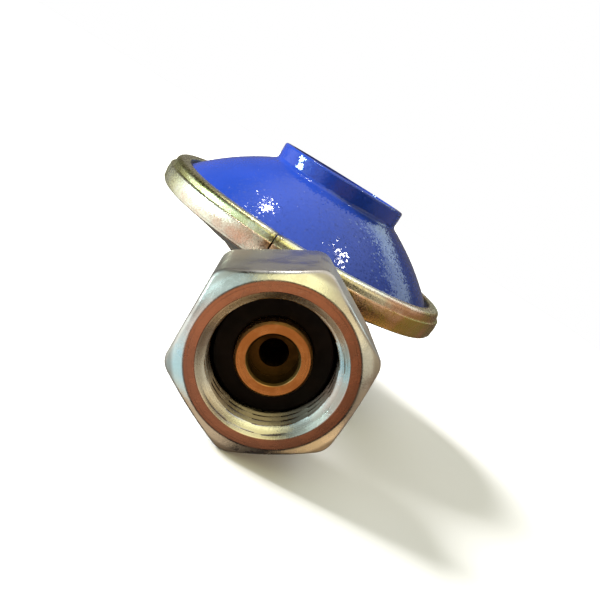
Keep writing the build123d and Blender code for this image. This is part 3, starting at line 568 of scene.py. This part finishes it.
def brass_finish(name, light, deep, polar, distance):
    material, bench, shader, position = finish(name, metallic=1.0)
    about = bench.group(polar, position=position).outputs
    grain = bench.group(GRAIN, position=position, size=0.3, contrast=0.22).outputs
    wear = bench.group(WEAR, position=position, size=4.0).outputs
    marks = bench.group(TURNING, position=position, distance=about[distance], pitch=0.07).outputs
    tone = bench.calc("MULTIPLY_ADD", marks["Shade"], 0.55, bench.calc("MULTIPLY", grain["Cloud"], 0.45))
    base = bench.ramp(tone, [(0.25, deep), (0.7, light)])
    base = bench.blend(bench.calc("MULTIPLY", wear["Smudge"], 0.25), base, tuple(0.6 * value for value in deep))
    bench.join(shader["Base Color"], base)
    bench.join(shader["Roughness"], bench.fade(tone, 0.2, 0.8, 0.38, 0.24))
    rings = bench.bump(marks["Height"], 0.4, 0.00005)
    bench.join(shader["Normal"], bench.bump(grain["Height"], 0.15, 0.00005, rings))
    return material


def nipple_finish():
    material, bench, shader, position = finish("nipple_brass", metallic=1.0)
    about = bench.group(INLET_POLAR, position=position).outputs
    grain = bench.group(GRAIN, position=position, size=0.3, contrast=0.22).outputs
    wear = bench.group(WEAR, position=position, size=4.0).outputs
    marks = bench.group(TURNING, position=position, distance=about["Radius"], pitch=0.07).outputs
    tone = bench.calc("MULTIPLY_ADD", marks["Shade"], 0.4, bench.calc("MULTIPLY", grain["Cloud"], 0.6))
    base = bench.ramp(tone, [(0.25, (0.90, 0.46, 0.16)), (0.7, (0.98, 0.58, 0.24))])
    base = bench.blend(bench.calc("MULTIPLY", wear["Smudge"], 0.2), base, (0.60, 0.30, 0.10))
    bore = bench.fade(about["Radius"], 4.28, 4.46, 1.0, 0.0)
    tarnish = bench.blend(grain["Cloud"], (0.10, 0.060, 0.016), (0.17, 0.105, 0.030))
    base = bench.blend(bore, base, tarnish)
    bench.join(shader["Base Color"], base)
    rough = bench.calc("MULTIPLY_ADD", bore, 0.16, bench.fade(tone, 0.2, 0.8, 0.36, 0.26))
    bench.join(shader["Roughness"], rough)
    rings = bench.bump(marks["Height"], 0.3, 0.00005)
    bench.join(shader["Normal"], bench.bump(grain["Height"], 0.15, 0.00005, rings))
    return material


def steel_finish(name, light, deep, rough=0.3):
    material, bench, shader, position = finish(name, metallic=1.0)
    grain = bench.group(GRAIN, position=position, size=0.25, contrast=0.22).outputs
    wear = bench.group(WEAR, position=position, size=4.0).outputs
    tone = bench.calc("MULTIPLY_ADD", grain["Cloud"], 0.6, bench.calc("MULTIPLY", grain["Speckle"], 0.4))
    base = bench.blend(tone, deep, light)
    base = bench.blend(bench.calc("MULTIPLY", wear["Scratch"], 0.4), base, (0.9, 0.9, 0.88))
    bench.join(shader["Base Color"], base)
    bench.join(shader["Roughness"], bench.fade(wear["Smudge"], 0.0, 1.0, rough - 0.06, rough + 0.1))
    bench.join(shader["Normal"], bench.bump(grain["Height"], 0.25, 0.00006))
    return material


def casting_finish():
    material, bench, shader, position = finish("body_die_cast", metallic=1.0)
    coarse = bench.group(GRAIN, position=position, size=1.1, contrast=0.25).outputs
    grain = bench.group(GRAIN, position=position, size=0.3, contrast=0.22).outputs
    wear = bench.group(WEAR, position=position, size=6.0).outputs
    tone = bench.calc("MULTIPLY_ADD", coarse["Cloud"], 0.5, bench.calc("MULTIPLY", wear["Smudge"], 0.5))
    base = bench.ramp(tone, [(0.1, (0.40, 0.40, 0.39)), (0.5, (0.56, 0.56, 0.54)), (0.9, (0.66, 0.65, 0.62))])
    pits = bench.fade(grain["Height"], 0.60, 0.72)
    base = bench.blend(bench.calc("MULTIPLY", pits, 0.5), base, (0.22, 0.21, 0.20))
    bench.join(shader["Base Color"], base)
    bench.join(shader["Roughness"], bench.fade(tone, 0.0, 1.0, 0.55, 0.42))
    first = bench.bump(coarse["Height"], 0.3, 0.0003)
    bench.join(shader["Normal"], bench.bump(grain["Height"], 0.35, 0.00012, first))
    return material


def fibre_finish():
    material, bench, shader, position = finish("seal_pressed_fibre", roughness=0.8)
    grain = bench.group(GRAIN, position=position, size=0.35, contrast=0.2).outputs
    base = bench.blend(grain["Speckle"], (0.30, 0.10, 0.05), (0.46, 0.20, 0.11))
    bench.join(shader["Base Color"], base)
    bench.join(shader["Roughness"], bench.fade(grain["Cloud"], 0.0, 1.0, 0.7, 0.9))
    bench.join(shader["Normal"], bench.bump(grain["Height"], 0.4, 0.0001))
    return material


def floor_finish():
    material, bench, shader, position = finish("studio_floor", roughness=0.9)
    grain = bench.group(GRAIN, position=position, size=2.5, contrast=0.3).outputs
    bench.join(shader["Base Color"], bench.blend(grain["Cloud"], (0.955, 0.955, 0.955), (0.965, 0.965, 0.965)))
    bench.join(shader["Roughness"], bench.fade(grain["Speckle"], 0.0, 1.0, 0.88, 0.94))
    return material


def dress(piece, material):
    """Give one piece one material in every slot."""
    piece.data.materials.clear()
    piece.data.materials.append(material)


dress(nut, nut_finish())
dress(ring, ring_finish())
dress(nodes["cover"], paint_finish())
dress(nodes["hub_cap"], cap_finish())
dress(nodes["sealing_washer"], rubber_finish("washer_rubber", (0.0050, 0.0032, 0.0022), 0.22))
dress(nodes["inlet_nipple"], nipple_finish())
dress(nodes["outlet_nozzle"], brass_finish("nozzle_brass", (0.86, 0.62, 0.30), (0.66, 0.44, 0.18), INLET_POLAR, "Along"))
dress(nodes["body_casting"], casting_finish())
dress(nodes["outlet_seal"], fibre_finish())
inner_brass = brass_finish("inner_brass", (0.84, 0.60, 0.28), (0.62, 0.40, 0.16), DISC_POLAR, "Radius")
for name in ("inlet_jet", "valve_plunger", "diaphragm_stem", "adjusting_plug"):
    dress(nodes[name], inner_brass)
inner_rubber = rubber_finish("diaphragm_rubber", (0.020, 0.019, 0.018))
for name in ("diaphragm", "valve_pad"):
    dress(nodes[name], inner_rubber)
plain_steel = steel_finish("inner_steel", (0.68, 0.68, 0.66), (0.48, 0.48, 0.47))
for name in ("lever", "lever_pin", "pin_keeper", "keeper_screws", "lower_plate", "spring_plate", "stem_nut",
             "spring_seat", "nut_slip_ring"):
    dress(nodes[name], plain_steel)
dress(nodes["main_spring"], steel_finish("spring_wire", (0.42, 0.43, 0.45), (0.22, 0.23, 0.25), 0.26))
dress(nodes["inlet_filter"], steel_finish("filter_sintered", (0.50, 0.34, 0.18), (0.30, 0.20, 0.10), 0.6))


# Floor

def make_floor():
    shape = bmesh.new()
    edge = [(-700, -62), (700, -62), (700, 1300), (-700, 1300)]
    corners = [shape.verts.new(Vector((x, y, FLOOR_Z)) * MM) for x, y in edge]
    shape.faces.new(corners)
    mesh = bpy.data.meshes.new("floor")
    shape.to_mesh(mesh)
    shape.free()
    floor = bpy.data.objects.new("floor", mesh)
    bpy.context.scene.collection.objects.link(floor)
    return floor


floor = make_floor()
dress(floor, floor_finish())
floor.visible_glossy = False


# Light

def soft_patch_effect():
    """Round soft-edged area of the surroundings, brightest towards its aim."""
    bench, given, result = effect(
        "soft_patch",
        [("Direction", "vector", None), ("Aim", "vector", None), ("Core", "value", 0.95), ("Edge", "value", 0.8)],
        [("Mask", "value")],
    )
    aim = bench.place("VectorMath", {0: given["Aim"]}, operation="NORMALIZE").outputs[0]
    nearness = bench.place("VectorMath", {0: given["Direction"], 1: aim}, operation="DOT_PRODUCT").outputs["Value"]
    bench.join(result["Mask"], bench.fade(nearness, given["Edge"], given["Core"]))
    return bench.tree


# Surroundings that the gloss picks up: aim, full width, faded width, colour
PATCHES = [
    ((0.03, 0.16, 0.985), 16, 44, (0.97, 1.00, 1.02)),
    ((-0.11, -0.67, 0.71), 15, 29, (1.55, 1.48, 0.80)),
    ((0.60, -0.56, 0.57), 7, 22, (0.95, 0.78, 0.46)),
    ((0.86, -0.42, 0.28), 8, 22, (0.60, 0.57, 0.43)),
    ((-0.75, -0.60, 0.27), 9, 24, (0.56, 0.72, 0.70)),
    ((-0.95, -0.32, 0.12), 6, 17, (1.1, 1.55, 1.60)),
    ((-0.92, 0.18, -0.34), 22, 37, (0.98, 0.98, 0.94)),
    ((-0.68, -0.66, -0.30), 8, 24, (0.90, 0.82, 0.76)),
    ((-0.61, -0.31, -0.73), 9, 22, (0.46, 0.84, 0.98)),
    ((-0.18, -0.16, -0.97), 13, 27, (0.66, 0.50, 0.33)),
    ((0.76, -0.10, -0.65), 8, 21, (0.80, 0.54, 0.27)),
    ((0.06, -0.955, -0.22), 5, 27, (0.47, 0.25, 0.14)),
    ((0.93, 0.12, -0.15), 15, 38, (0.30, 0.22, 0.15)),
    ((0.85, 0.10, 0.50), 8, 28, (0.44, 0.38, 0.28)),
    ((0.37, 0.68, 0.63), 4, 13, (1.5, 1.9, 1.95)),
    ((0.62, 0.54, 0.57), 4, 13, (1.3, 1.6, 1.65)),
    ((0.0, 0.97, 0.10), 20, 70, (0.14, 0.13, 0.12)),
]


def make_world():
    world = bpy.data.worlds.new("studio")
    bpy.context.scene.world = world
    world.use_nodes = True
    tree = world.node_tree
    tree.nodes.clear()
    bench = Bench(tree)
    patch = soft_patch_effect()
    direction = bench.place("TexCoord").outputs["Generated"]
    light = (0.030, 0.023, 0.019, 1.0)
    for aim, core, edge, colour in PATCHES:
        mask = bench.group(patch, direction=direction, aim=aim, core=cos(radians(core)), edge=cos(radians(edge)))
        share = bench.blend(mask.outputs[0], (0.0, 0.0, 0.0), colour)
        light = bench.blend(1.0, light, share, "ADD")
    seen = bench.place("LightPath").outputs["Is Camera Ray"]
    colour = bench.blend(seen, light, (1.0, 1.0, 1.0))
    back = bench.place("Background", {"Color": colour, "Strength": 1.0})
    leave = tree.nodes.new("ShaderNodeOutputWorld")
    tree.links.new(back.outputs[0], leave.inputs[0])


def make_glint(name, spot, towards, distance, size, watts, colour):
    """Small round lamp that stands off one spot of the object and only shows in its gloss."""
    data = bpy.data.lights.new(name, "AREA")
    data.shape = "DISK"
    data.size = size
    data.energy = watts
    data.color = colour
    lamp = bpy.data.objects.new(name, data)
    aim = Vector(towards).normalized()
    lamp.location = Vector(spot) * MM + aim * distance
    lamp.rotation_euler = aim.to_track_quat("Z", "Y").to_euler()
    lamp.visible_diffuse = False
    bpy.context.scene.collection.objects.link(lamp)


def make_daylight(name, towards, strength, spread, colour):
    """Soft light from one direction, the same all over; the surroundings give the gloss."""
    data = bpy.data.lights.new(name, "SUN")
    data.energy = strength
    data.angle = radians(spread)
    data.color = colour
    lamp = bpy.data.objects.new(name, data)
    lamp.rotation_euler = Vector(towards).to_track_quat("Z", "Y").to_euler()
    lamp.visible_glossy = False
    bpy.context.scene.collection.objects.link(lamp)


make_world()
make_glint("dome_glint_left", (-14, 30, 19), (-0.37, 0.21, 0.90), 0.5, 0.045, 0.30, (1.0, 0.98, 0.94))
make_glint("dome_glint_right", (6, 26, 17), (0.29, 0.05, 0.95), 0.5, 0.035, 0.20, (1.0, 0.97, 0.90))
make_glint("hub_window", (-10, 38, 27), (-1.0, -0.08, -0.02), 0.6, 0.10, 1.3, (0.62, 0.95, 1.0))
make_daylight("left_daylight", (-0.867, 0.098, 0.488), 8.6, 28, (1.0, 0.99, 0.97))


# Camera, turned with the photo's horizon

def make_camera():
    data = bpy.data.cameras.new("camera")
    data.lens = 40.24
    data.sensor_width = 36.0
    data.clip_start = 0.005
    camera = bpy.data.objects.new("camera", data)
    right = Vector((0.85638, -0.008915, 0.516267))
    up = Vector((-0.498886, 0.243508, 0.831755))
    back = right.cross(up)
    place = Vector((-15.19, -103.10, 31.65)) * MM
    turn = Matrix((right, up, back)).transposed().to_4x4()
    camera.matrix_world = Matrix.Translation(place) @ turn
    bpy.context.scene.collection.objects.link(camera)
    bpy.context.scene.camera = camera


make_camera()
scene = bpy.context.scene
scene.view_settings.view_transform = "Standard"
scene.view_settings.look = "None"
